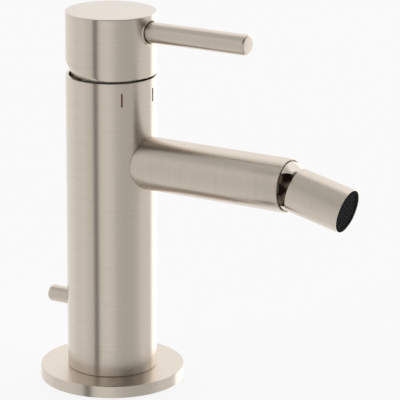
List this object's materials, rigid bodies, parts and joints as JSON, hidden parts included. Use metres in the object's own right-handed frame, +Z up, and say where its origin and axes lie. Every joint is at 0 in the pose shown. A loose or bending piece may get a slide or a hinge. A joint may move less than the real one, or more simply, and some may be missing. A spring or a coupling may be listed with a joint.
{
  "type": "bidet mixer",
  "caption": "Single-lever bidet mixer in brushed nickel, with a round column, a straight spout, a ball-jointed nozzle and a rear pop-up knob.",
  "frame": {"origin": "centre of the deck face, under the column", "axes": "+Z up along the column, -Y along the spout and the lever, +Y along the pop-up knob, -X on the hot side"},
  "size_m": [0.0674, 0.1588, 0.1756],
  "materials": {
    "brushed_nickel": "brushed",
    "polished_chrome": "polished",
    "raw_brass": "machined",
    "copper_tube": "drawn",
    "stainless_steel": "machined",
    "ceramic_disc": "lapped",
    "white_plastic": "moulded",
    "black_plastic": "moulded",
    "black_rubber": "moulded",
    "red_enamel": "gloss",
    "blue_enamel": "gloss"
  },
  "bodies": {
    "root": {"base_flange": "brushed_nickel", "base_gasket": "black_rubber", "mixer_body": "brushed_nickel", "foot_plug": "raw_brass", "inlet_risers": "copper_tube", "rod_bush": "white_plastic", "spout_tube": "brushed_nickel", "hot_mark": "red_enamel", "cold_mark": "blue_enamel", "port_seals": "black_rubber", "cartridge_base": "white_plastic", "fixed_disc": "ceramic_disc", "cartridge_housing": "white_plastic", "cartridge_nut": "raw_brass", "seat_ring": "white_plastic", "ball_seal": "black_rubber", "ball_retainer": "polished_chrome"},
    "turret": {"cartridge_turret": "stainless_steel", "pivot_pin": "stainless_steel"},
    "slider": {"disc_carrier": "white_plastic", "moving_disc": "ceramic_disc"},
    "handle": {"cartridge_stem": "raw_brass", "handle_cap": "brushed_nickel", "lever_bar": "brushed_nickel", "handle_grub_screw": "stainless_steel"},
    "liner": {"ball_liner": "white_plastic"},
    "nozzle": {"swivel_ball": "polished_chrome", "nozzle_shell": "brushed_nickel", "nozzle_washer": "black_rubber", "aerator_housing": "black_plastic", "aerator_diffuser": "white_plastic", "aerator_screen": "black_plastic"},
    "popup": {"lift_rod": "polished_chrome", "lift_knob": "brushed_nickel"}
  },
  "joints": [
    {"name": "handle_turn", "type": "hinge", "parent": "root", "child": "turret", "pos_m": [0, 0, 0.152], "axis": [0, 0, 1], "range_deg": [-45, 6]},
    {"name": "handle_lift", "type": "hinge", "parent": "turret", "child": "handle", "pos_m": [0, 0, 0.152], "axis": [-1, 0, 0], "range_deg": [0, 17]},
    {"name": "disc_slide", "type": "slide", "parent": "turret", "child": "slider", "axis": [0, -1, 0], "range_m": [0, 0.0036]},
    {"name": "nozzle_yaw", "type": "hinge", "parent": "root", "child": "liner", "pos_m": [0, -0.0911, 0.1063], "axis": [0, 0, 1], "range_deg": [-8, 8]},
    {"name": "nozzle_pitch", "type": "hinge", "parent": "liner", "child": "nozzle", "pos_m": [0, -0.0911, 0.1063], "axis": [-1, 0, 0], "range_deg": [-1.6, 28.4]},
    {"name": "popup_lift", "type": "slide", "parent": "root", "child": "popup", "axis": [0, 0, 1], "range_m": [0, 0.018]}
  ],
  "couplings": [
    {"joint": "disc_slide", "follows": "handle_lift", "m_per_rad": 0.012}
  ]
}
